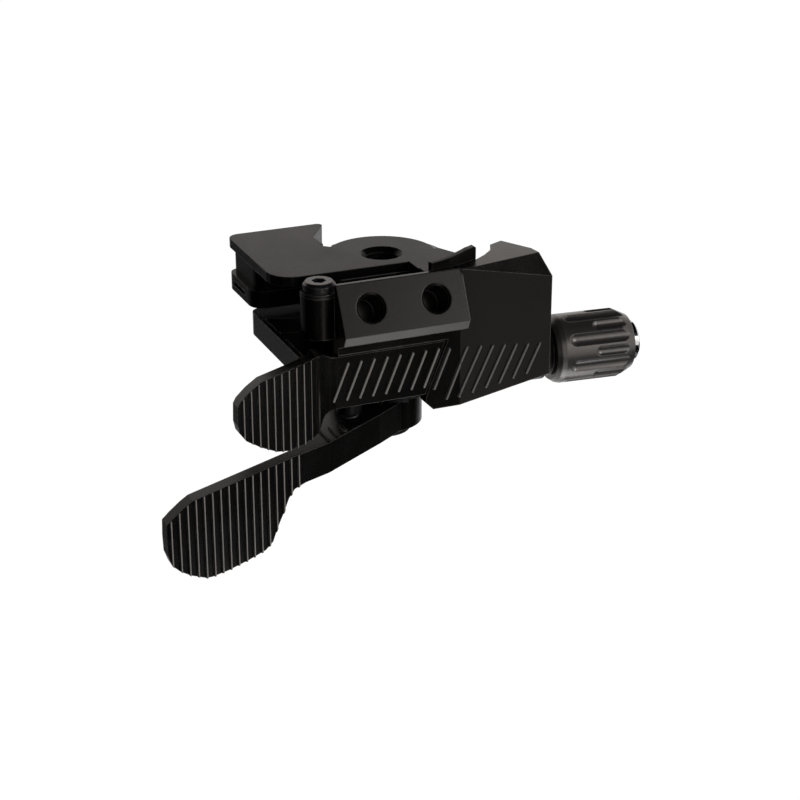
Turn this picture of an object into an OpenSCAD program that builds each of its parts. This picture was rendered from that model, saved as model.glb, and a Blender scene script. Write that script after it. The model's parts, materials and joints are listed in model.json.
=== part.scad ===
// Two-paddle cable remote for a bicycle handlebar. Millimetres.
// Drawn round the pivot axis (Z), top face at height 0, handlebar along X, rider on the -Y side,
// then moved so that the frame's origin is the middle of the clamp face, between its two threaded holes.

/* [Top plate] */
// Pivot axis to the left edge
plate_left = 19.8; // [18:0.1:22]
// Pivot axis to the back edge
plate_back = 18.2; // [16.5:0.1:20]
// Pivot axis to the front edge
plate_front = 5.5; // [5:0.1:5.5]
// Thickness of the top plate
plate_t = 1.5; // [1.2:0.1:1.8]
// Radius of the front left corner
plate_corner_r = 4; // [1:0.1:6]
// Radius of the round lobe over the pivot
lobe_r = 9.5; // [8.5:0.1:9.6]
// Width of the bevel round the lobe's free edge
lobe_bevel = 0.8; // [0.4:0.1:1.2]
// Pivot axis to the end of the back edge, along X
notch_x = 2.8; // [1:0.1:4]
// Pivot axis to the deepest point of the notch, along Y
notch_y = 11.8; // [11.4:0.1:14]
// Height of the cable fin at its right end
fin_h = 2.1; // [1.5:0.1:3]
// Thickness of the cable fin
fin_t = 0.9; // [0.6:0.1:1.2]
// Thickness of the lower plate
lower_t = 2.8; // [2:0.1:3.2]
// Distance by which the middle block stands back from the plates
recess = 0.8; // [0.3:0.1:1.5]

/* [Housing] */
// Pivot axis to the outer face of the front wall
wall_y = 12; // [12:0.1:12.6]
// Thickness of the front wall
wall_t = 1.1; // [0.9:0.05:1.2]
// Outer radius of the drum
drum_r = 10.7; // [10.4:0.1:10.8]
// Radius of the spring chamber in the drum
chamber_r = 6.5; // [6:0.1:6.8]
// Depth of the drum's underside
drum_depth = 8.8; // [8.6:0.1:9]
// Height of the front wall
front_h = 11.3; // [10.6:0.1:11.4]
// Depth of the skirt's lower edge
skirt_depth = 22.8; // [22:0.1:23]
// Pivot axis to the corner where the front face turns
corner_x = 8.4; // [8:0.1:9]
// Angle by which the front face turns towards the rider
front_turn = 15; // [10:0.5:18]
// Length of the turned front face
front_len = 14.4; // [13:0.1:15]
// Slope of the roof in front of its ridge
roof_slope = 16; // [8:0.5:20]
// Slope of the underside towards the right end
base_slope = 17.7; // [10:0.5:20]

/* [Clamp block] */
// Width of the clamp block
block_w = 20.8; // [20.2:0.1:22]
// Middle of the clamp block from the pivot axis, to the left
block_left = 1.8; // [1.4:0.1:2.2]
// Tilt of the clamp face from upright
block_tilt = 27; // [22:0.5:30]
// Height of the clamp face along its slope
face_h = 8.2; // [7.6:0.1:8.6]
// Width of the chamfer along the lower edge
block_chamfer = 1.6; // [1:0.1:2]
// Distance between the two threaded holes
hole_gap = 10.8; // [10:0.1:12]
// Top edge of the clamp face to the holes' centres
hole_drop = 4.1; // [3.7:0.1:4.4]
// Inner diameter of the M5 threads
thread_d = 4.2; // [4.1:0.05:4.3]
// Diameter of the holes' countersunk mouths
mouth_d = 5; // [4.6:0.1:5.6]
// Depth of the threaded holes
thread_depth = 5; // [4.5:0.1:5.4]

/* [Mechanism] */
// Radius of the main axle
axle_r = 3; // [2.8:0.1:3.2]
// Radius of the axle's head
axle_head_r = 4.6; // [4.3:0.1:5]
// Radial clearance of everything that turns on a pin
fit_gap = 0.05; // [0.03:0.01:0.08]
// Outer radius of the bushes
bush_r = 4; // [3.8:0.1:4.1]
// Radius of the spool's flanges
spool_r = 8.6; // [8.2:0.1:8.8]
// Radius at the bottom of the spool's groove
groove_r = 6.7; // [6.5:0.1:7]
// Width of the spool's groove
groove_w = 2.6; // [2:0.1:3]
// Diameter of the inner cable
cable_d = 1.2; // [1.1:0.1:1.6]
// Radius at the tips of the ratchet's teeth
ratchet_r = 8.7; // [8.5:0.1:8.8]
// Height of the ratchet's teeth
tooth_h = 1.3; // [1:0.1:1.4]
// Number of teeth round the ratchet
teeth = 12; // [10:1:14]
// Radius of the pawls' hubs
pawl_hub_r = 2; // [1.8:0.1:2.1]
// Radius of the pawls' pins
pawl_pin_r = 1; // [0.8:0.05:1.1]
// Radius of the cover screw's head
screw_head_r = 2.6; // [2.3:0.1:2.6]
// Width across the flats of its socket
screw_hex = 2; // [1.8:0.1:2.5]

/* [Push lever] */
// Radius of the push lever's hub
hub_r = 6.5; // [6.4:0.1:7]
// Height of the hub and the arm
arm_h = 5; // [4.6:0.1:6]
// Length of the thumb paddle
push_len = 26.4; // [24:0.1:29]
// Height of the thumb paddle
push_h = 13.7; // [12:0.1:15]
// Thickness of the thumb paddle
push_t = 2.1; // [1.8:0.1:2.8]
// Turn of the paddle's face from the handlebar's direction
push_turn = 24.8; // [22:0.2:28]

/* [Release lever] */
// Length of the thumb paddle from the arm's bend
rel_len = 17.2; // [15:0.1:19]
// Height of the thumb paddle
rel_h = 13.2; // [11.8:0.1:13.2]
// Thickness of the thumb paddle
rel_t = 1.9; // [1.5:0.1:2.3]
// Turn of the paddle's face from the handlebar's direction
rel_turn = 27; // [25:0.1:30]
// Thickness of the ribbed arm
strip_t = 1.6; // [1.2:0.1:1.7]
// Thickness of the tray's floor
tray_t = 1.3; // [1:0.1:1.3]
// Thickness of the left rim
rim_t = 0.9; // [0.7:0.1:1.4]

/* [Ribs] */
// Distance between the upright ribs of the paddles
rib_pitch = 1.6; // [1.3:0.05:2.2]
// Distance between the slanted ribs of the skirt
slant_pitch = 2.17; // [1.9:0.01:2.6]
// Slant of those ribs from upright
slant = 22.4; // [18:0.2:24]
// Width of a rib
rib_w = 0.35; // [0.3:0.05:0.5]
// Height of a rib above its face
rib_out = 0.3; // [0.15:0.05:0.4]

/* [Cable adjuster] */
// Length of the knob
knob_len = 13.6; // [12:0.1:18]
// Largest radius of the knob
knob_r = 5.6; // [5.2:0.1:5.9]
// Number of long flutes round the knob
flutes = 8; // [6:1:9]
// Gap between the knob and the housing
neck = 1.6; // [1.2:0.1:2.5]
// Radius of the sleeve
sleeve_r = 2.95; // [2.8:0.05:3.1]
// Length of the sleeve's bright tip beyond the knob
tip_len = 1.4; // [0.8:0.1:2]
// Radius of the socket for the cable housing
socket_r = 2.1; // [2.05:0.05:2.3]
// Depth of that socket
socket_depth = 7; // [6:0.5:10]

/* [Hidden] */
$fn = 48;

black = "#1d1d1f";
steel = "#8f9296";
eps = 0.02;
over = 1;
slack = 0.1;

// Heights in the stack along the axle, measured down from the top face
lower_bottom = drum_depth - 0.3;
rel_hub_top = drum_depth + 0.3;
rel_bottom = rel_hub_top + 3.7;
tray_top = rel_bottom - tray_t;
spool_top = rel_bottom + 0.3;
cable_z = spool_top + 3.5;
spool_bottom = cable_z + 3.7;
wheel_top = spool_bottom + slack;
wheel_bottom = wheel_top + 2;
washer_bottom = wheel_bottom + 0.3;
lever_top = wheel_bottom + 0.8;
lever_bottom = lever_top + arm_h;
collar_r = bush_r + 0.4;
rel_hub_r = bush_r + 4;
washer_r = bush_r + 1.2;
lever_groove = [bush_r + 0.7, hub_r - 0.6];
rel_groove = [bush_r + 1.4, rel_hub_r - 0.8];
strip_bottom = rel_bottom + 7.2;
paddle_top = rel_hub_top - 0.1;
strip_y = wall_y - strip_t;
pawl_top = wheel_top + slack;
pawl_bottom = wheel_bottom - slack;
pin_turn = 43;
pin_out = 12.4;
pocket_right = 2.7;
pocket_depth = 2.6;
screw_at = [-13.7, -8.2];

// Clamp face, adjuster axis and the front corner of the gearbox
block_x = -block_left;
block_top_y = wall_y - 0.4;
adjust_at = [24.8, -9.9];
adjust_turn = -5.83;
corner_at = [corner_x, -wall_y];

// Points of an arc, with n steps
function arc(c, r, a0, a1, n) = [for (i = [0 : n]) let (a = a0 + (a1 - a0) * i / n)
    [c[0] + r * cos(a), c[1] + r * sin(a)]];

// An outline of [x, y, radius] corners, with its corners rounded
function unit(v) = v / norm(v);
function fold(a) = a > 180 ? a - 360 : a < -180 ? a + 360 : a;
function corner(p, q, s, n) = let (
        here = [q[0], q[1]],
        u = unit([p[0], p[1]] - here),
        v = unit([s[0], s[1]] - here),
        half = acos(max(-1, min(1, u * v))) / 2,
        c = here + unit(u + v) * q[2] / sin(half),
        a = here + u * q[2] / tan(half) - c,
        b = here + v * q[2] / tan(half) - c,
        a0 = atan2(a[1], a[0]))
    arc(c, q[2], a0, a0 + fold(atan2(b[1], b[0]) - a0), n);
function rounded(pts, n = 5) = let (m = len(pts)) [for (i = [0 : m - 1])
    each (pts[i][2] > 0 ? corner(pts[(i + m - 1) % m], pts[i], pts[(i + 1) % m], n)
        : [[pts[i][0], pts[i][1]]])];

// A path's point at a distance, its heading, and the path laid beside it
function along(p, s, i = 0) = let (d = norm(p[i + 1] - p[i]))
    (s <= d || i == len(p) - 2) ? p[i] + (p[i + 1] - p[i]) * s / d : along(p, s - d, i + 1);
function leaning(p, s, i = 0) = let (d = norm(p[i + 1] - p[i]))
    (s <= d || i == len(p) - 2) ? unit(p[i + 1] - p[i]) : leaning(p, s - d, i + 1);
function heading(p, i) = unit(p[min(i + 1, len(p) - 1)] - p[max(i - 1, 0)]);
function beside(p, t) = [for (i = [0 : len(p) - 1]) let (h = heading(p, i)) p[i] + t * [-h[1], h[0]]];
function reversed(p) = [for (i = [len(p) - 1 : -1 : 0]) p[i]];

// A flat piece between two depths below the top face
module slab(depth_top, depth_bottom) {
    translate([0, 0, -depth_bottom]) linear_extrude(depth_bottom - depth_top) children();
}

module post(at, r, depth_top, depth_bottom) {
    translate([at[0], at[1], -depth_bottom]) cylinder(r = r, h = depth_bottom - depth_top);
}

// A ring about the pivot axis
module ring(r_in, r_out, depth_top, depth_bottom) {
    slab(depth_top, depth_bottom) difference() {
        circle(r_out);
        circle(r_in);
    }
}

// A face outline, drawn as [along, up], pushed outwards from a line of the plan
module on_face(origin, turn, thick) {
    translate([origin[0], origin[1], 0]) rotate([90, 0, turn]) linear_extrude(thick) children();
}

// The frame's origin is the middle of the clamp face
module placed() {
    translate([block_left, block_top_y + hole_drop * sin(block_tilt), hole_drop * cos(block_tilt)])
        children();
}

// The adjuster's own axis as Z, 0 at the knob's left end
module adjuster() {
    translate([adjust_at[0], adjust_at[1], -cable_z]) rotate([0, 0, adjust_turn]) rotate([0, 90, 0])
        children();
}

// A coil spring about Z, rising from 0
module coil(radius, wire, turns, pitch, steps = 16, sides = 6) {
    rings = floor(turns * steps);
    points = [for (i = [0 : rings]) let (t = 360 * i / steps) for (j = [0 : sides - 1])
        let (a = 360 * j / sides, r = radius + wire * cos(a))
        [r * cos(t), r * sin(t), pitch * i / steps + wire * sin(a)]];
    faces = concat([[for (j = [0 : sides - 1]) j]],
        [for (i = [0 : rings - 1], j = [0 : sides - 1])
            [i * sides + j, (i + 1) * sides + j, (i + 1) * sides + (j + 1) % sides,
                i * sides + (j + 1) % sides]],
        [[for (j = [sides - 1 : -1 : 0]) rings * sides + j]]);
    polyhedron(points, faces, convexity = 6);
}

// One slanted rib with round ends, leaning from its lower end
module slant_bar(x, low, high) {
    long = (high - low) / cos(slant);
    translate([x, low]) rotate(-slant) {
        translate([-rib_w / 2, 0]) square([rib_w, long]);
        circle(rib_w / 2, $fn = 16);
        translate([0, long]) circle(rib_w / 2, $fn = 16);
    }
}

// Lower edge of the skirt along the front, as a height
function skirt_low(u) = -skirt_depth + max(0, u) * tan(base_slope);

skirt_ribs = 14;
module skirt_rib_field() {
    for (i = [0 : skirt_ribs - 1]) {
        x = 3.9 + i * slant_pitch;
        low = i == 0 ? -19.2 : skirt_low(x - corner_x) + 1.6;
        if (x < corner_x + front_len - 3) slant_bar(x, low, -13);
    }
}

// Plan of the right-hand block that carries the cable adjuster
block_plan = [corner_at, corner_at + front_len * [cos(front_turn), -sin(front_turn)],
    [23.15, -9.3], [22.9, -7], [20.1, -1.7], [17.6, -2.9], [16.6, -5.2], [14.5, -7.2], [12.8, -8.4],
    [11.3, -9.2], [9.2, -9.98], [corner_x, -10.2]];

module housing() {
    difference() {
        union() {
            post([0, 0], drum_r, plate_t, drum_depth);
            intersection() {
                ring(lobe_r + 0.2, drum_r, 1, plate_t + eps);
                slab(0, 3) polygon([[0, 0], [30, -3.1], [30, 30], [-12, 24]]);
            }
            slab(pocket_depth, drum_depth) translate([block_x - block_w / 2, -wall_y])
                square([block_w, wall_y - 4]);
            slab(plate_t, pocket_depth + eps) translate([pocket_right, -wall_y])
                square([block_x + block_w / 2 - pocket_right, wall_y - 4]);
            clamp_block();
            slab(0, skirt_depth) polygon(block_plan);
            on_face([0, strip_y * -1 + 0.4], 0, strip_t + 0.4) polygon([[6.3, -front_h + eps],
                [2.75, -20], [2.4, -21.4], [3.8, -skirt_depth], [corner_x + eps, -skirt_depth],
                [corner_x + eps, -front_h + eps]]);
            post(screw_at, 3, 2.1, drum_depth);
            // Column for the holding pawl's pin
            rotate(pin_turn) slab(plate_t + 2.5, spool_bottom - 0.9) polygon([[9.6, -3], [12.2, -3.2],
                [13.9, -2], [14.4, 0], [13.9, 2], [12.2, 3.2], [9.6, 3]]);
            on_face([0, -wall_y + eps], 0, rib_out + eps) intersection() {
                skirt_rib_field();
                translate([0, -30]) square([corner_x, 30]);
            }
            on_face(corner_at + eps * [sin(front_turn), cos(front_turn)], -front_turn, rib_out + eps)
                intersection() {
                    translate([-corner_x, 0]) skirt_rib_field();
                    translate([0, -30]) square([30, 30]);
                }
        }
        // Room for the levers, the spool and the spring
        post([0, 0], chamber_r, pocket_depth + 0.5, drum_depth - 1.2);
        intersection() {
            post([0, 0], chamber_r, plate_t - over, pocket_depth + over);
            translate([-drum_r, 0.4 - plate_front, -drum_depth]) cube([2 * drum_r, 2 * drum_r, drum_depth]);
        }
        // Open pocket between the clamp's wall and the top plate
        slab(plate_t - over, pocket_depth) translate([-10.6, -wall_y + wall_t])
            square([pocket_right + 10.6, wall_y - wall_t - plate_front - 0.1]);
        post([0, 0], axle_r + fit_gap, plate_t, drum_depth + over);
        post([0, 0], 9.4, drum_depth, 40);
        // Roof in front of the ridge, and the rising underside
        translate([corner_x - 0.2, -wall_y - 0.2, 0]) rotate([0, 0, 11]) rotate([roof_slope, 0, 0])
            translate([0, -12, 0]) cube([26, 12, 6]);
        translate([corner_x, -wall_y, -skirt_depth]) rotate([0, 0, -front_turn])
            rotate([0, -base_slope, 0]) translate([0, -5, -20]) cube([30, 30, 20]);
        // Threaded holes of the clamp face
        for (side = [-1, 1]) face_hole(side);
        // Screws and pins
        post(screw_at, 1.25, 0, 7.5);
        rotate(pin_turn) post([pin_out, 0], pawl_pin_r, 12, 30);
        adjuster() {
            translate([0, 0, -9.6]) cylinder(r = sleeve_r + fit_gap, h = 20);
            translate([0, 0, -26]) cylinder(r = cable_d / 2 + 0.4, h = 20, $fn = 24);
        }
    }
    difference() {
        adjuster() difference() {
            translate([0, 0, -10.6]) cylinder(r = 4.6, h = 10.6 - neck);
            translate([0, 0, -9.6]) cylinder(r = sleeve_r + fit_gap, h = 20);
            translate([0, 0, -26]) cylinder(r = cable_d / 2 + 0.4, h = 20, $fn = 24);
        }
        translate([corner_x, -wall_y, 0]) rotate([0, 0, -front_turn]) translate([-9, -10, -40])
            cube([40, 10, 40]);
    }
}

module clamp_block() {
    low_y = -block_top_y - face_h * sin(block_tilt);
    low_z = -face_h * cos(block_tilt);
    translate([block_x - block_w / 2, 0, 0]) rotate([90, 0, 90]) linear_extrude(block_w)
        polygon([[-wall_y + wall_t, 0], [-block_top_y, 0], [low_y, low_z],
            [low_y + 0.55 * block_chamfer, low_z - 1.05 * block_chamfer],
            [-wall_y, low_z - 1.65 * block_chamfer],
            [-wall_y, -front_h], [-wall_y + 2, -front_h], [-wall_y + 2, -pocket_depth - over],
            [-wall_y + wall_t, -pocket_depth]]);
}

module face_hole(side) {
    translate([block_x + side * hole_gap / 2, -block_top_y - hole_drop * sin(block_tilt),
        -hole_drop * cos(block_tilt)]) rotate([-90 - block_tilt, 0, 0]) {
        translate([0, 0, -over]) cylinder(d = thread_d, h = thread_depth + over);
        translate([0, 0, -eps]) cylinder(d1 = mouth_d, d2 = thread_d, h = 0.4);
        translate([0, 0, -over]) cylinder(d = mouth_d, h = over);
    }
}

plate_screw_at = [[-15.4, 12.6], [-9.6, 14.6]];
fin_line = [[4.1, -10.4], [5.5, -10.4], [7.2, -10.3], [9.1, -9.8], [11.2, -9], [12.6, -8.25]];

module plate_plan() {
    polygon(rounded([[-plate_left, -plate_front, plate_corner_r], [2.4, -plate_front, 0], [2.4, 5, 0],
        [-6.8, 6.6, 0.5], [-7.1, notch_y, 0.8], [-notch_x, plate_back, 0.8],
        [-plate_left, plate_back, 2]]));
    difference() {
        circle(lobe_r);
        translate([-lobe_r - over, -lobe_r - over])
            square([lobe_r + over + pocket_right - 0.3, lobe_r + over - plate_front]);
    }
    polygon(concat([[9.4, -1.2], [0, 0], [pocket_right, -5], [pocket_right, -wall_y + wall_t + slack],
        [4.1, -wall_y + wall_t + slack]], [for (p = fin_line) p + [0, 0.1]]));
}

module top_plate() {
    difference() {
        union() {
            slab(0, plate_t) plate_plan();
            // Fin beside the cable
            intersection() {
                translate([0, 0, -eps]) linear_extrude(fin_h + over)
                    polygon(concat(fin_line, reversed([for (p = fin_line) p + [-0.2, fin_t]])));
                on_face([0, 0], 0, 20) polygon([[3, -1], [3, 0.9], [5.5, 1.2], [10.8, fin_h],
                    [12.2, fin_h], [13, fin_h - 0.6], [13, -1]]);
            }
        }
        // Bevel round the lobe
        intersection() {
            rotate_extrude() polygon([[lobe_r, -0.5], [lobe_r - lobe_bevel, 0], [lobe_r - lobe_bevel, over],
                [lobe_r + over, over], [lobe_r + over, -0.5]]);
            translate([0, 0, -over]) linear_extrude(2 * over)
                polygon([[0, 0], [30, -3.8], [30, 30], [-20, 30], [-20, 19.2]]);
        }
        post([0, 0], 2.6, -over, plate_t + over);
        translate([0, 0, -0.8]) cylinder(r1 = 2.6, r2 = 3.4, h = 0.8 + eps);
        for (at = plate_screw_at) post(at, 1.1, 0.5, plate_t + over);
        post(screw_at, screw_head_r + slack, -over, plate_t + over);
    }
}

module stack_plan(back_off) {
    difference() {
        polygon(rounded([[-plate_left + back_off, 5, 2.5], [-4, 5, 0], [-6.5, 8.6, 0],
            [-7.1, notch_y, 0.8], [-notch_x, plate_back, 0.8], [-plate_left + back_off, plate_back - 0.4, 2]]));
        circle(drum_r + slack);
    }
}

module middle_block() {
    slab(plate_t, lower_bottom - lower_t) difference() {
        stack_plan(recess);
        for (at = plate_screw_at) translate(at) circle(1.1 + fit_gap);
    }
}

module lower_plate() {
    difference() {
        slab(lower_bottom - lower_t, lower_bottom) stack_plan(0);
        for (at = plate_screw_at) {
            post(at, 1.1 + fit_gap, 0, 20);
            post(at, 2.1, lower_bottom - 1.4, 20);
        }
        translate([-plate_left - over, 9.4, -lower_bottom + 1]) cube([over + 0.6, 5.4, 0.7]);
    }
}

module plate_screws() {
    for (at = plate_screw_at) difference() {
        union() {
            post(at, 1.1, 0.5, lower_bottom - 0.8);
            post(at, 2, lower_bottom - 1.4, lower_bottom - 0.1);
        }
        translate([at[0], at[1], -lower_bottom]) cylinder(d = 1.9, h = 0.9, $fn = 6);
    }
}

module cover_screw() {
    difference() {
        union() {
            post(screw_at, screw_head_r, 0.5, plate_t);
            translate([screw_at[0], screw_at[1], -0.5])
                cylinder(r1 = screw_head_r, r2 = screw_head_r - 0.5, h = 0.45);
            post(screw_at, 1.25, plate_t - eps, 7.4);
        }
        translate([screw_at[0], screw_at[1], -1.1]) rotate(30)
            cylinder(d = screw_hex / cos(30), h = 2, $fn = 6);
    }
}

module screw_washer() {
    translate(screw_at) ring(1.25 + fit_gap, 3, plate_t, 2.1);
}

module main_axle() {
    difference() {
        union() {
            post([0, 0], axle_r, plate_t + slack, lever_bottom + eps);
            post([0, 0], axle_head_r, lever_bottom + slack, lever_bottom + 1.6);
            post([0, 0], axle_r, lever_bottom, lever_bottom + slack + eps);
        }
        translate([0, 0, -lever_bottom - 2]) cylinder(d = 4.6, h = 2, $fn = 6);
        // Slot that holds the inner end of the spool's spring
        translate([-4, -0.25, -drum_depth + 1.3]) cube([8, 0.5, drum_depth]);
    }
}

module thrust_washers() {
    ring(axle_r + fit_gap, washer_r, drum_depth, rel_hub_top);
    ring(axle_r + fit_gap, washer_r, rel_bottom, spool_top);
    ring(axle_r + fit_gap, collar_r, wheel_bottom, washer_bottom);
}

module lever_bush() {
    ring(axle_r + fit_gap, bush_r, washer_bottom, lever_bottom);
}

module release_bush() {
    ring(axle_r + fit_gap, bush_r, rel_hub_top, rel_bottom);
}

// Plan of a paddle with upright ribs on its front
module ribbed_band(path, thick, first, last, pitch) {
    polygon(concat(path, reversed(beside(path, -thick))));
    for (s = [first : pitch : last]) let (h = leaning(path, s))
        translate(along(path, s) + (rib_out - rib_w / 2) * [-h[1], h[0]]) circle(rib_w / 2, $fn = 16);
}

push_dir = [-cos(push_turn), -sin(push_turn)];
push_back = [-sin(push_turn), cos(push_turn)];
push_at = [-21.6, -19.1];
push_path = [for (s = [-1.6, push_len + 0.6]) push_at + s * push_dir];

function push_edge(s, z) = [push_at[0] + (s < 6 ? s : s * push_len / 26.4) * push_dir[0],
    -lever_top - z * push_h / 13.7];

module push_lever() {
    difference() {
        union() {
            post([0, 0], hub_r, lever_top, lever_bottom);
            post([0, 0], collar_r + slack, washer_bottom + slack, lever_top + eps);
            slab(lever_top, lever_bottom) polygon([[0.6, -6.4], [-4.4, -9.8], [-11.2, -14],
                [-15.7, -16.8], push_at + [0, -0.1], [-22.5, -17.2], [-21.6, -15.6], [-18.6, -10.8],
                [-14, -5.6], [-9, -1.5], [-5, 3.5], [0, 6], [0, 0]]);
            // Grip ribs on top of the arm
            for (i = [0 : 2]) translate([-15.6 + 1.75 * i, -16 + 1.1 * i, -lever_top - eps])
                cube([0.5, 4.9 - 1.45 * i, rib_out + eps]);
            intersection() {
                slab(lever_top - over, lever_top + push_h + over)
                    ribbed_band(push_path, push_t, 1.6, push_len + 1, rib_pitch);
                on_face([0, 0], 0, 60) polygon([push_edge(-1.6, 0), push_edge(21.3, 0),
                    push_edge(22.9, 0.5), push_edge(25, 1.4), push_edge(26.3, 2.1), push_edge(26.4, 4.4),
                    push_edge(26.3, 7), push_edge(25.6, 8.8), push_edge(24.2, 10.2), push_edge(22.3, 11.6),
                    push_edge(19.3, 13.2), push_edge(18.1, 13.5), push_edge(14.9, 13.7),
                    push_edge(10.8, 13.6), push_edge(7.2, 13.3), push_edge(5.6, 12.45),
                    push_edge(4.65, 10.6), push_edge(3.35, 8.65), push_edge(2.05, 6.45),
                    push_edge(0.8, 5.4), push_edge(-1.6, 5.1)]);
            }
        }
        post([0, 0], bush_r, washer_bottom - over, lever_bottom + over);
        // Groove of the lever's spring
        ring(lever_groove[0], lever_groove[1], lever_top - over, lever_top + 3.6);
        rotate(pin_turn + 180) post([pin_out, 0], pawl_pin_r, lever_top - over, lever_bottom - 1.5);
        translate([-4.4, -9.8, -lever_bottom - over]) rotate([0, 0, -149]) translate([2, -2.2, 0])
            cube([9, 1.4, over + 2.2]);
    }
}

rel_dir = [-cos(rel_turn), -sin(rel_turn)];
rel_at = [-17.2, -16.6];
bend = [[-12.6, -12], [-13.6, -12.15], [-14.6, -12.7], [-15.4, -13.6], [-16, -14.7], [-16.6, -15.7],
    [-17.5, -16.6], [-18.6, -17.25]];
rel_path = concat(bend, [rel_at + 3.4 * rel_dir, rel_at + (rel_len + 0.3) * rel_dir]);

function rel_edge(s, z) = [rel_at[0] + s * rel_len / 17.2 * rel_dir[0], -paddle_top - z * rel_h / 13.2];

module release_lever() {
    difference() {
        union() {
            // Hub, arm and tray
            post([0, 0], rel_hub_r, rel_hub_top, rel_bottom);
            slab(rel_hub_top, rel_bottom) polygon(rounded([[-plate_left, 2.6, 0.5], [-15, 0.95, 1],
                [-7, -2, 0], [0, 0, 0], [-2, 7.5, 0], [-plate_left, 7.5, 2]]));
            slab(tray_top, rel_bottom) polygon([[2.6, -strip_y - eps], [-13, -strip_y - eps],
                [-17, -15.6], [-plate_left, -15.2], [-plate_left, 2.8], [-15, 1.2], [0, 0]]);
            slab(rel_hub_top, rel_bottom) polygon([[-plate_left, -15.2], [-plate_left + rim_t, -15.9],
                [-plate_left + rim_t, 3], [-plate_left, 3]]);
            // Ribbed arm in front of the spool
            on_face([0, -strip_y], 0, strip_t) polygon([[-13.2, -tray_top], [5.8, -tray_top],
                [2.45, -strip_bottom], [-13.2, -strip_bottom]]);
            on_face([0, -wall_y + eps], 0, rib_out + eps) for (i = [0 : 7])
                slant_bar(-13.05 + i * slant_pitch, 1.4 - strip_bottom, 0.1 - rel_bottom);
            // Bend and thumb paddle
            intersection() {
                slab(paddle_top - over, strip_bottom + 4)
                    ribbed_band(rel_path, rel_t, 6.9, rel_len + 5.7, rib_pitch);
                on_face([0, 0], 0, 60) polygon([[-12.4, -tray_top], [-13.3, 0.15 - tray_top],
                    rel_edge(0, 0), rel_edge(5, 0.1), rel_edge(12.2, 0.15), rel_edge(14.6, 0.9),
                    rel_edge(16.6, 1.9), rel_edge(17.2, 2.6), rel_edge(17.3, 5.3), rel_edge(16.9, 6.8),
                    rel_edge(15.6, 8.4), rel_edge(12.5, 10.5), rel_edge(9.2, 12.3), rel_edge(6.7, 13),
                    rel_edge(3.5, 13.1), rel_edge(0.9, 12.75), rel_edge(-1.1, 11.9),
                    [-14.6, -strip_bottom - 0.3], [-13.3, -strip_bottom], [-12.4, -strip_bottom]]);
            }
        }
        post([0, 0], bush_r, rel_hub_top - over, rel_bottom + over);
        // Groove of the release spring
        ring(rel_groove[0], rel_groove[1], rel_hub_top - over, rel_hub_top + 2);
    }
}

module cable_spool() {
    difference() {
        post([0, 0], spool_r, spool_top, spool_bottom);
        ring(groove_r, spool_r + over, cable_z - groove_w / 2, cable_z + groove_w / 2);
        post([0, 0], axle_r + 0.01, spool_top - over, spool_bottom + over);
        // Pocket for the cable's nipple
        rotate(200) {
            post([6.2, 0], 2.1, cable_z - 2, spool_bottom + over);
            translate([6.2, -cable_d / 2, -cable_z - 1]) cube([6, cable_d, 2]);
        }
    }
}

module ratchet_wheel() {
    pitch = 360 / teeth;
    face_rake = 3.2;
    slab(wheel_top, wheel_bottom) difference() {
        rotate(10) polygon([for (k = [0 : teeth - 1], j = [0 : 4])
            let (a = k * pitch + j / 4 * (pitch - face_rake), r = ratchet_r - tooth_h + tooth_h * j / 4)
            [r * cos(a), r * sin(a)]]);
        circle(axle_r + 0.01);
        for (k = [0 : 2]) rotate(k * 120 + 20) translate([5.3, 0]) circle(0.9, $fn = 24);
    }
    // Keys that carry the spool round
    for (k = [0 : 2]) rotate(k * 120 + 20) post([5.3, 0], 0.9, spool_bottom, wheel_bottom);
}

// A pawl, drawn at the holding pawl's place
module pawl_shape() {
    slab(pawl_top, pawl_bottom) difference() {
        union() {
            rotate(pin_turn) translate([pin_out, 0]) circle(pawl_hub_r);
            polygon([[7.65, 1.5], [8.6, 1.55], [9.4, 2.2], [10.2, 4.6], [10.95, 7.8], [8.8, 9.2],
                [7.7, 7.4]]);
        }
        rotate(pin_turn) translate([pin_out, 0]) circle(pawl_pin_r + fit_gap);
    }
}

module hold_pawl() { pawl_shape(); }

module drive_pawl() { rotate(180) pawl_shape(); }

module hold_pawl_pin() {
    rotate(pin_turn) {
        post([pin_out, 0], pawl_pin_r, 12, pawl_bottom + 0.2);
        post([pin_out, 0], 1.6, pawl_bottom + slack, pawl_bottom + 0.6);
    }
}

module drive_pawl_pin() {
    rotate(pin_turn + 180) {
        post([pin_out, 0], pawl_pin_r, pawl_top - 0.2, lever_bottom - 1.5);
        post([pin_out, 0], 1.6, pawl_top - 0.5, pawl_top - 0.1);
    }
}

spring_wire = 0.2;
module hold_pawl_spring() {
    rotate(pin_turn) translate([pin_out, 0, -pawl_top + spring_wire + eps])
        coil(pawl_pin_r + spring_wire + 0.15, spring_wire, 1.2, 0.46, 16, 6);
}

module drive_pawl_spring() {
    rotate(pin_turn + 180) translate([pin_out, 0, -lever_top + spring_wire + eps])
        coil(pawl_pin_r + spring_wire + 0.15, spring_wire, 1.0, 0.44, 16, 6);
}

module spool_spring() {
    turns = 4.4;
    inner = [for (i = [0 : 88]) let (t = i / 88)
        (axle_r + 0.15 + (chamber_r - axle_r - 0.6) * t) * [cos(360 * turns * t), sin(360 * turns * t)]];
    slab(pocket_depth + 0.7, drum_depth - 1.6) {
        polygon(concat(inner, reversed([for (p = inner) p + unit(p) * 0.3])));
        translate([-0.2, -0.15]) square([axle_r + 0.55, 0.3]);
        rotate(360 * turns) translate([chamber_r - 0.45, -0.4]) square([0.3, 0.6]);
    }
}

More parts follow.
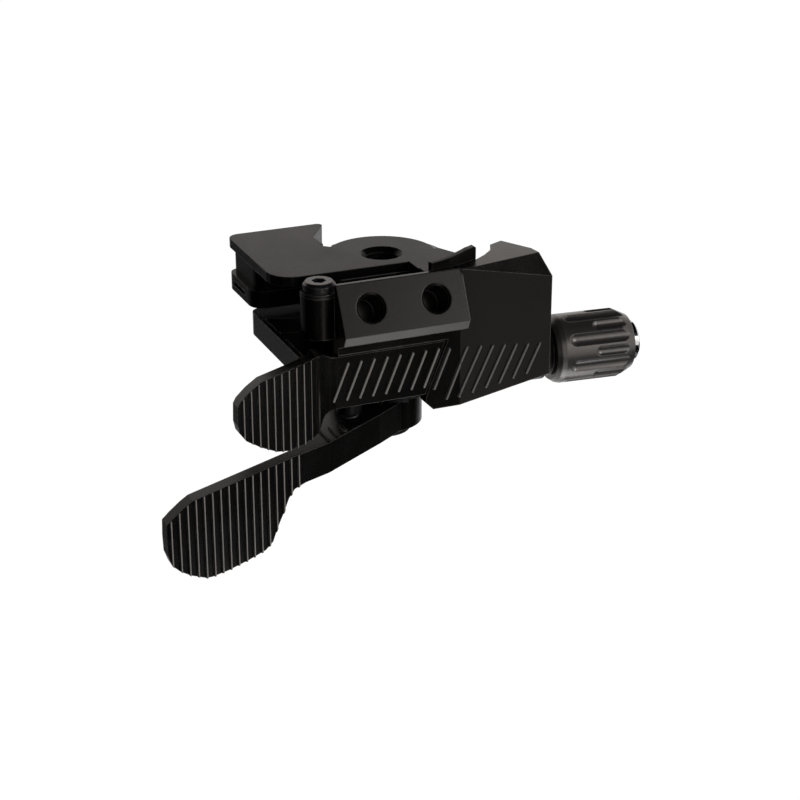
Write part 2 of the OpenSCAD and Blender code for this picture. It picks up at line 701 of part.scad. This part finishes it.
module lever_spring() {
    translate([0, 0, -lever_top - 3.15]) coil((lever_groove[0] + lever_groove[1]) / 2, 0.35, 3.4, 0.8);
}

module release_spring() {
    translate([0, 0, -rel_hub_top - 1.55]) coil((rel_groove[0] + rel_groove[1]) / 2, 0.35, 1.5, 0.85, 20);
}

module adjuster_knob() {
    adjuster() difference() {
        rotate_extrude() polygon([[sleeve_r + fit_gap, 0], [knob_r - 0.7, 0], [knob_r - 0.2, 0.7], [knob_r, 1.4],
            [knob_r, knob_len - 2.2], [knob_r - 1.1, knob_len],
            [sleeve_r + fit_gap, knob_len]]);
        for (k = [0 : flutes - 1]) {
            rotate(13 + k * 360 / flutes) flute(1.3, 3.2);
            rotate(13 + (k + 0.5) * 360 / flutes) flute(1, 7.3);
        }
    }
}

module flute(r, start) {
    translate([knob_r + 0.55 * r, 0, start]) {
        cylinder(r = r, h = 30, $fn = 16);
        sphere(r = r, $fn = 16);
    }
}

module adjuster_barrel() {
    adjuster() difference() {
        union() {
            translate([0, 0, -9]) cylinder(r = sleeve_r, h = knob_len + 9 + 0.2);
            translate([0, 0, knob_len]) cylinder(r = 3.3, h = tip_len - 0.3);
            translate([0, 0, knob_len + tip_len - 0.3]) cylinder(r1 = 3.3, r2 = 3, h = 0.3);
        }
        translate([0, 0, knob_len + tip_len - socket_depth]) cylinder(r = socket_r, h = 20);
        translate([0, 0, -20]) cylinder(r = cable_d / 2 + 0.3, h = 60, $fn = 24);
    }
}

module adjuster_spring() {
    adjuster() translate([0, 0, -neck]) rotate_extrude() polygon([[sleeve_r + fit_gap, 0],
        [3.9, 0], [4.2, 0.3], [3.7, neck / 2], [4.2, neck - 0.3], [3.9, neck], [sleeve_r + fit_gap, neck]]);
}

color(black) placed() housing();
color(black) placed() top_plate();
color(black) placed() middle_block();
color(black) placed() lower_plate();
color(steel) placed() plate_screws();
color(black) placed() cover_screw();
color(black) placed() screw_washer();
color(steel) placed() main_axle();
color(steel) placed() thrust_washers();
color(steel) placed() lever_bush();
color(steel) placed() release_bush();
color(black) placed() push_lever();
color(black) placed() release_lever();
color(steel) placed() cable_spool();
color(steel) placed() ratchet_wheel();
color(steel) placed() drive_pawl();
color(steel) placed() drive_pawl_pin();
color(steel) placed() drive_pawl_spring();
color(steel) placed() hold_pawl();
color(steel) placed() hold_pawl_pin();
color(steel) placed() hold_pawl_spring();
color(steel) placed() spool_spring();
color(steel) placed() lever_spring();
color(steel) placed() release_spring();
color(black) placed() adjuster_knob();
color(steel) placed() adjuster_barrel();
color(steel) placed() adjuster_spring();
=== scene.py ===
# %% [markdown]
# # A handlebar remote with two thumb paddles
# The remote is a small black gearbox that bolts to a handlebar clamp. One paddle pulls the cable
# in, the other lets it go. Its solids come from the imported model, in metres, with the middle of the
# sloped clamp face at the origin. Here they get a camera, light and finishes.

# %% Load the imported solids
import json
from math import cos, pi, radians, sin

import bmesh
import bpy
from mathutils import Matrix, Vector


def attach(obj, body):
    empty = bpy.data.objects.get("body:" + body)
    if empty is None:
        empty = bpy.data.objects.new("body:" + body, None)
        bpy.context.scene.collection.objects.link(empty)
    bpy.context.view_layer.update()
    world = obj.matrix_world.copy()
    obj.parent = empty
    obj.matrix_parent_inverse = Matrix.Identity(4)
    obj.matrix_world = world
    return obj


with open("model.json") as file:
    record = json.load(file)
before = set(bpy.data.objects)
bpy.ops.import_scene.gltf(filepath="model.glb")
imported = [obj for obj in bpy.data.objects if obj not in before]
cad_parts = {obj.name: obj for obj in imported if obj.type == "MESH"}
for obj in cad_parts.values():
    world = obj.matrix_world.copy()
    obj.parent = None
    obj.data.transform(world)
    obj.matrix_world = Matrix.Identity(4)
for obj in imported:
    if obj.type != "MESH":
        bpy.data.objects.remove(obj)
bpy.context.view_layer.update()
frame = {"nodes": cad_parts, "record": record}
MM = 0.001
UP, DOWN = (0, 0, 1), (0, 0, -1)
WHITE = (1, 1, 1, 1)
WARM = (1, 0.94, 0.9, 1)


def put(name, data):
    thing = bpy.data.objects.new(name, data)
    bpy.context.collection.objects.link(thing)
    return thing


# %% [markdown]
# ## Camera
# The photograph looks down by 23 degrees and from 23 degrees left of straight on, through a fairly
# long lens. A camera that is only turned, never shifted, gives the same view, and its place comes
# from the distance at which the paddles shrink towards the back as they do in the picture.

# %% Place the camera
LOOK_DOWN, LOOK_LEFT = 23, 23
FOCAL_PIXELS, PICTURE_PIXELS, SENSOR_MM = 1910, 800, 36

camera = put("camera", bpy.data.cameras.new("camera"))
camera.location = Vector((-107.71, -252.02, 100.29)) * MM
camera.rotation_euler = (radians(90 - LOOK_DOWN), 0, radians(-LOOK_LEFT))
camera.data.sensor_width = SENSOR_MM
camera.data.lens = FOCAL_PIXELS / PICTURE_PIXELS * SENSOR_MM
camera.data.clip_start = 0.01
bpy.context.scene.camera = camera
bpy.context.scene.view_settings.view_transform = "Standard"
print("lens:", round(camera.data.lens, 1), "mm")

# %% [markdown]
# ## Shader maths
# A finish is a sum of many small effects, and written as node links it is hard to read. A small
# class that wraps a socket lets the sums be written as plain expressions, while every expression
# still becomes ordinary Math nodes that can be opened and changed in Blender.

# %% A socket that can be added and multiplied
class Wire:
    def __init__(self, shader, socket):
        self.shader, self.socket = shader, socket

    def math(self, operation, *values):
        slots = dict(enumerate((self,) + values))
        return self.shader.add("ShaderNodeMath", {"operation": operation}, slots)["Value"]

    def __add__(self, other):
        return self.math("ADD", other)

    __radd__ = __add__

    def __sub__(self, other):
        return self.math("SUBTRACT", other)

    def __rsub__(self, other):
        return self.shader.add("ShaderNodeMath", {"operation": "SUBTRACT"}, {0: other, 1: self})["Value"]

    def __mul__(self, other):
        return self.math("MULTIPLY", other)

    def clamped(self):
        return self.math("MAXIMUM", 0.0).math("MINIMUM", 1.0)


class Shader:
    def __init__(self, tree):
        self.tree = tree
        tree.nodes.clear()

    def add(self, kind, settings=None, sockets=None):
        node = self.tree.nodes.new(kind)
        for name, value in (settings or {}).items():
            setattr(node, name, value)
        for name, value in (sockets or {}).items():
            if isinstance(value, Wire):
                self.tree.links.new(value.socket, node.inputs[name])
            else:
                node.inputs[name].default_value = value
        return {out.name: Wire(self, out) for out in node.outputs if out.enabled}

    # The colour mix keeps its two colours in the sixth and seventh sockets.
    def mix(self, share, first, second):
        return self.add("ShaderNodeMix", {"data_type": "RGBA"},
                        {"Factor": share, 6: first, 7: second})["Result"]

    def bump(self, strength, distance, height, normal):
        return self.add("ShaderNodeBump", {}, {"Strength": strength, "Distance": distance,
                                               "Height": height, "Normal": normal})["Normal"]

    def surface(self, shown):
        self.add("ShaderNodeOutputMaterial", {}, {"Surface": shown})


def finish_of(name):
    material = bpy.data.materials.new(name)
    material.use_nodes = True
    return material, Shader(material.node_tree)


print("shader tools ready")

# %% [markdown]
# ## Shared surface detail
# The Bevel node rounds the normals near every edge, and the angle between the rounded and the true
# normal is a mask for a painted highlight, a brighter colour along the edge. The grip ribs are too fine for
# that, so a second mask picks out whatever stands in front of a given upright face, which is the crest of
# each rib, and gives it the same painted highlight.

# %% Grain, and painted highlights on edges and rib crests
BEVEL_SAMPLES, EDGE_GAIN = 6, 5
CREST_GAIN, CREST_START = 16000, 3.4  # per metre: from 0.21 to 0.28 mm in front of the face
LIMIT_GAIN = 20000  # per metre: a limit fades in over 0.05 mm


def grain(shader, scale, detail=3.0):
    place = shader.add("ShaderNodeTexCoord")["Object"]
    return shader.add("ShaderNodeTexNoise", {}, {"Vector": place, "Scale": scale, "Detail": detail})["Fac"]


# Edge mask: on coated parts it places the painted highlight; on bare metal it only lowers the roughness.
def edge_mask(shader, radius):
    rounded = shader.add("ShaderNodeBevel", {"samples": BEVEL_SAMPLES}, {"Radius": radius})["Normal"]
    flat = shader.add("ShaderNodeNewGeometry")["Normal"]
    along = shader.add("ShaderNodeVectorMath", {"operation": "DOT_PRODUCT"}, {0: rounded, 1: flat})["Value"]
    return rounded, ((1 - along) * EDGE_GAIN).clamped()


# Crest mask: it marks the crest of each grip rib for the painted highlight.
# Each limit is an axis, the side of it that counts, and the edge in millimetres.
def crest(shader, origin, normal, limits):
    place = shader.add("ShaderNodeTexCoord")["Object"]
    apart = shader.add("ShaderNodeSeparateXYZ", {}, {0: place})
    axes = [apart["X"], apart["Y"], apart["Z"]]
    out = sum(((axes[i] - origin[i] * MM) * normal[i] for i in range(2)), 0.0)
    mask = (out * CREST_GAIN - CREST_START).clamped()
    for axis, side, edge in limits:
        mask = mask * ((axes[axis] * side - edge * side * MM) * LIMIT_GAIN).clamped()
    return mask


print("surface detail ready")

# %% [markdown]
# ## Coated metal
# Black anodised and painted metal is never one flat black. It has a fine grain and cloudy patches where the
# coat is a little glossier.
# Its edges, broken with a small chamfer, catch the light, and that light is a painted highlight: a brighter
# colour where the edge mask is.

# %% Black finishes
CLOUD_SCALE, CLOUD_DETAIL = 160, 4.0
COAT_GRAIN_SCALE = 5200
COAT_RELIEF = 0.00003


def coated(name, dark, bright, rough, gloss, edge_radius=0.00018, bump=0.25, crests=()):
    material, shader = finish_of(name)
    fine = grain(shader, COAT_GRAIN_SCALE)
    clouds = grain(shader, CLOUD_SCALE, CLOUD_DETAIL)
    rounded, edge = edge_mask(shader, edge_radius)
    # Painted highlight: the brighter colour on edges and rib crests, patchy with the clouds.
    painted_highlight = (edge * (clouds * 1.4 - 0.1)).clamped()
    for origin, normal, limits in crests:
        painted_highlight = (painted_highlight + crest(shader, origin, normal, limits)).clamped()
    colour = shader.mix(painted_highlight, (*dark, 1), (*bright, 1))
    relief = shader.bump(bump, COAT_RELIEF, fine, rounded)
    skin = shader.add("ShaderNodeBsdfPrincipled", {}, {
        "Base Color": colour, "Roughness": (rough + (clouds - 0.5) * 0.16 + (fine - 0.5) * 0.08).clamped(),
        "Specular IOR Level": gloss, "Specular Tint": WARM, "Normal": relief})
    shader.surface(skin["BSDF"])
    print("finish:", name, len(shader.tree.nodes), "nodes")
    return material


# Upright faces with ribs, whose crests get the painted highlight: a point on each, in millimetres, and its
# outward direction, both seen from above.
front = ((0, 1.4614), (0, -1))
turned = ((10.2, 1.4614), (-0.2588, -0.9659))
push_face = ((-19.8, -5.6386), (0.4195, -0.9078))
release_face = ((-15.4, -3.1386), (0.454, -0.891))
X, Z = 0, 2
LESS, MORE = -1, 1

# The second colour of each coated finish is its painted highlight on edges and rib crests.
anodised = (0.003, 0.0029, 0.0028)
housing_coat = coated("cast_black", (0.0035, 0.0033, 0.0032), (0.18, 0.17, 0.165), 0.25, 0.2, 0.00026, 0.15,
                      crests=[(*front, [(X, LESS, 10.2), (Z, LESS, -8.6)]),
                              (*turned, [(X, MORE, 10.2), (Z, LESS, -8.6)])])
plate_coat = coated("plate_black", anodised, (0.16, 0.15, 0.145), 0.28, 0.07)
push_coat = coated("push_black", anodised, (0.27, 0.26, 0.25), 0.25, 0.1, 0.00012,
                   crests=[(*push_face, [(X, LESS, -19.4)])])
release_coat = coated("release_black", anodised, (0.24, 0.23, 0.22), 0.25, 0.2, 0.00012,
                      crests=[(*front, [(X, MORE, -11.6)]), (*release_face, [(X, LESS, -15.4)])])
screw_coat = coated("screw_black", (0.012, 0.012, 0.013), (0.12, 0.12, 0.12), 0.28, 0.4)
knob_coat = coated("knob_black", (0.03, 0.029, 0.028), (0.03, 0.03, 0.03), 0.3, 0.9)
spring_coat = coated("spring_black", (0.01, 0.01, 0.011), (0.08, 0.08, 0.08), 0.35, 0.3)

# %% [markdown]
# ## Bare metals and the polymer washers
# The mechanism inside is black oxide and ground steel, drawn wire, turned alloy and bronze. All share
# a recipe: the metal's own colour, fine machining lines from a stretched noise, and smudges in the
# roughness. The polymer washers use it too, with the metal turned off.

# %% Bare metal finishes
LINE_SCALE, LINE_DETAIL, LINE_STRETCH = 1800, 2.0, (1.0, 1.0, 14.0)
SMUDGE_SCALE = 300
BARE_EDGE = 0.00012
LINE_STRENGTH, LINE_RELIEF = 0.2, 0.00002


def bare(name, colour, dull, rough, metal=1.0):
    material, shader = finish_of(name)
    place = shader.add("ShaderNodeTexCoord")["Object"]
    stretched = shader.add("ShaderNodeMapping", {}, {"Vector": place, "Scale": LINE_STRETCH})["Vector"]
    streaks = shader.add("ShaderNodeTexNoise", {}, {
        "Vector": stretched, "Scale": LINE_SCALE, "Detail": LINE_DETAIL})["Fac"]
    smudges = grain(shader, SMUDGE_SCALE)
    rounded, edge = edge_mask(shader, BARE_EDGE)
    mixed = shader.mix((smudges * 0.6 + streaks * 0.4).clamped(), (*dull, 1), (*colour, 1))
    relief = shader.bump(LINE_STRENGTH, LINE_RELIEF, streaks, rounded)
    skin = shader.add("ShaderNodeBsdfPrincipled", {}, {
        "Base Color": mixed, "Roughness": (rough + (smudges - 0.5) * 0.2 - edge * 0.05).clamped(),
        "Metallic": metal, "Normal": relief})
    shader.surface(skin["BSDF"])
    print("finish:", name, len(shader.tree.nodes), "nodes")
    return material


oxide_steel = bare("oxide_steel", (0.025, 0.025, 0.026), (0.015, 0.015, 0.016), 0.4)
ground_steel = bare("ground_steel", (0.46, 0.46, 0.47), (0.34, 0.34, 0.35), 0.32)
drawn_wire = bare("drawn_wire", (0.2, 0.2, 0.21), (0.14, 0.14, 0.145), 0.35)
turned_alloy = bare("turned_alloy", (0.62, 0.62, 0.64), (0.5, 0.5, 0.52), 0.35)
bronze = bare("sintered_bronze", (0.55, 0.38, 0.2), (0.42, 0.28, 0.14), 0.45)
bright_plate = bare("bright_plate", (0.75, 0.75, 0.77), (0.6, 0.6, 0.62), 0.14)
washer_polymer = bare("washer_polymer", (0.6, 0.58, 0.52), (0.5, 0.48, 0.43), 0.5, metal=0.0)

# %% [markdown]
# ## Dress the solids
# Each solid takes a finish by its own name, so nothing is left in the plain colour it was imported with.

# %% Give every solid its finish
finishes = {
    "housing": housing_coat, "top_plate": plate_coat, "middle_block": plate_coat,
    "lower_plate": plate_coat, "plate_screws": ground_steel, "cover_screw": screw_coat,
    "screw_washer": screw_coat, "main_axle": oxide_steel, "thrust_washers": washer_polymer,
    "lever_bush": bronze, "release_bush": bronze, "push_lever": push_coat,
    "release_lever": release_coat, "cable_spool": turned_alloy, "ratchet_wheel": oxide_steel,
    "drive_pawl": oxide_steel, "drive_pawl_pin": oxide_steel, "drive_pawl_spring": spring_coat,
    "hold_pawl": oxide_steel, "hold_pawl_pin": oxide_steel, "hold_pawl_spring": spring_coat,
    "spool_spring": drawn_wire, "lever_spring": drawn_wire, "release_spring": drawn_wire,
    "adjuster_knob": knob_coat, "adjuster_barrel": bright_plate, "adjuster_spring": spring_coat,
}
for node, solid in frame["nodes"].items():
    solid.data.materials.clear()
    solid.data.materials.append(finishes[node])
print("dressed:", len(frame["nodes"]))

# %% [markdown]
# ## Threads in the clamp holes
# The solid's two holes are plain bores. The real ones are cut with a screw thread, which shows as
# fine rings of light inside the mouths. A ridge that winds up the bore's wall gives them: one small
# flat-topped profile, swept along a helix as a strip of faces.

# %% Wind a thread into each clamp hole
BORE_RADIUS, THREAD_DEPTH, THREAD_PITCH, RIDGE_HEIGHT = 2.1 * MM, 3.8 * MM, 0.8 * MM, 0.14 * MM
MOUTH_OFFSET = 2.0
STEPS_PER_TURN = 36
RIDGE_FOOT, RIDGE_TOP = 0.36, 0.06  # half widths, as shares of the pitch


def thread_mesh(name):
    crest_radius = BORE_RADIUS - RIDGE_HEIGHT
    profile = ((BORE_RADIUS, -THREAD_PITCH * RIDGE_FOOT), (crest_radius, -THREAD_PITCH * RIDGE_TOP),
               (crest_radius, THREAD_PITCH * RIDGE_TOP), (BORE_RADIUS, THREAD_PITCH * RIDGE_FOOT))
    bm = bmesh.new()
    last = None
    for i in range(int(THREAD_DEPTH / THREAD_PITCH * STEPS_PER_TURN) + 1):
        turn = 2 * pi * i / STEPS_PER_TURN
        along = THREAD_PITCH * i / STEPS_PER_TURN
        row = [bm.verts.new((r * cos(turn), r * sin(turn), -(along + z))) for r, z in profile]
        if last:
            for a in range(len(profile) - 1):
                bm.faces.new((last[a], last[a + 1], row[a + 1], row[a]))
        last = row
    mesh = bpy.data.meshes.new(name)
    bmesh.ops.recalc_face_normals(bm, faces=bm.faces)
    bm.to_mesh(mesh)
    bm.free()
    return mesh


mounts = {m["name"]: m for m in frame["record"]["mounts"]}
for side in ("left", "right"):
    hole = mounts["clamp_thread_" + side]
    outward = Vector(hole["axis"])
    mouth = Vector(hole["pos_m"]) + outward * MOUTH_OFFSET * MM
    thread = put("clamp_thread_" + side, thread_mesh("clamp_thread_" + side))
    turn = outward.to_track_quat("Z", "Y").to_matrix().to_4x4()
    thread.data.transform(Matrix.Translation(mouth) @ turn)
    thread.data.materials.append(housing_coat)
    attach(thread, "base")
print("threads wound")

# %% [markdown]
# ## Floor and backdrop
# A gloss black object shows mostly what it mirrors. In the photograph that is a white sweep, low
# behind the object and under it, so the world is white for the rays that make the picture. It is as
# strong but a little warm for those that mirror it, and weaker for the soft light on everything.

# %% A white sweep
SOFT_SHARE = 0.5
PAPER_GLOW, GLOW_SHARE = 1.05, 0.96
FLOOR_HEIGHT, FLOOR_WIDTH = -0.11, 3

world = bpy.data.worlds.new("studio")
world.use_nodes = True
bpy.context.scene.world = world
sky = Shader(world.node_tree)
path = sky.add("ShaderNodeLightPath")
seen = (path["Is Camera Ray"] + path["Is Glossy Ray"] + path["Is Transmission Ray"]).clamped()
tint = sky.mix(path["Is Camera Ray"], WARM, WHITE)
backdrop = sky.add("ShaderNodeBackground", {}, {
    "Color": tint, "Strength": seen * (1 - SOFT_SHARE) + SOFT_SHARE})
sky.add("ShaderNodeOutputWorld", {}, {"Surface": backdrop["Background"]})


def sheet(name, centre, size, normal, material):
    bm = bmesh.new()
    bmesh.ops.create_grid(bm, x_segments=2, y_segments=2, size=0.5)
    mesh = bpy.data.meshes.new(name)
    bm.to_mesh(mesh)
    bm.free()
    mesh.materials.append(material)
    plane = put(name, mesh)
    plane.scale = (*size, 1)
    plane.rotation_euler = Vector(normal).to_track_quat("Z", "Y").to_euler()
    plane.location = centre
    return plane


paper, shader = finish_of("white_paper")
fibres = grain(shader, 900)
path = shader.add("ShaderNodeLightPath")
seen = (path["Is Camera Ray"] + path["Is Glossy Ray"]).clamped()
matt = shader.add("ShaderNodeBsdfPrincipled", {}, {
    "Base Color": (0.85, 0.85, 0.85, 1), "Roughness": (fibres * 0.1 + 0.8).clamped()})
glow = shader.add("ShaderNodeEmission", {}, {"Color": WHITE, "Strength": PAPER_GLOW})
both = shader.add("ShaderNodeMixShader", {}, {0: seen * GLOW_SHARE, 1: matt["BSDF"], 2: glow["Emission"]})
shader.surface(both["Shader"])
sheet("floor", (0, 0, FLOOR_HEIGHT), (FLOOR_WIDTH, FLOOR_WIDTH), UP, paper)
print("world and floor are white")

# %% [markdown]
# ## Black cards
# White alone would turn every side pale. Black cards overhead, to the left and just over the floor
# give the roof, the paddles and the left sides their deep black, and a dark grey one softens the far
# left. The camera doesn't see the cards, only the object does.

# %% Hang the cards
CARD_HEIGHT = -0.1
GREY_GLOW = 0.12


def card_finish(name, glow):
    material, shader = finish_of(name)
    nap = grain(shader, 400)
    cloth = shader.add("ShaderNodeBsdfPrincipled", {}, {
        "Base Color": (0.002, 0.002, 0.002, 1), "Roughness": (nap * 0.2 + 0.8).clamped(),
        "Specular IOR Level": 0.0, "Emission Color": WHITE, "Emission Strength": glow})
    shader.surface(cloth["BSDF"])
    return material


black, grey = card_finish("black_card", 0.0), card_finish("grey_card", GREY_GLOW)
cards = [
    ("ceiling_card", (0, -0.02, 0.35), (1.6, 0.86), DOWN, black),
    ("left_card", (-0.33, 0.1, 0.1), (0.8, 0.42), (1, 0, 0), black),
    ("left_floor_card", (-0.27, 0.3, CARD_HEIGHT), (0.48, 0.4), UP, grey),
    ("near_left_card", (-0.3, -0.17, CARD_HEIGHT), (0.54, 0.56), UP, black),
    ("paddle_card", (0.11, -0.085, CARD_HEIGHT), (0.13, 0.24), UP, black),
    ("arm_card", (0.3, 0, CARD_HEIGHT), (0.25, 0.2), UP, black),
    ("strip_card", (0.14, -0.3, CARD_HEIGHT), (0.2, 0.32), UP, black),
]
for name, centre, size, normal, cloth in cards:
    card = sheet(name, centre, size, normal, cloth)
    card.visible_camera = False
    card.visible_shadow = False
print("cards:", len(cards))

# %% [markdown]
# ## Lamps
# With the reflections in place, three small square lamps only have to lift the edges. One lies just
# over the floor and shines up, which puts the bright line under the clamp face and along the bottom
# of the knob.

# %% Soft studio lamps
lamps = [
    ("side", (0.45, -0.4, 0.3), (0, 0, -0.015), 0.2, 0.6),
    ("knob", (0.32, -0.38, 0.15), (0.035, 0, -0.01), 0.25, 0.7),
    ("floor_lamp", (0.04, -0.025, -0.095), (0.04, -0.025, 0), 0.055, 0.026),
]
for name, place, target, width, power in lamps:
    lamp = put(name, bpy.data.lights.new(name, "AREA"))
    lamp.data.shape = "RECTANGLE"
    lamp.data.size, lamp.data.size_y, lamp.data.energy = width, width, power
    lamp.location = place
    lamp.rotation_euler = (Vector(target) - Vector(place)).to_track_quat("-Z", "Y").to_euler()
    lamp.visible_camera = False
print("lamps:", len(lamps))
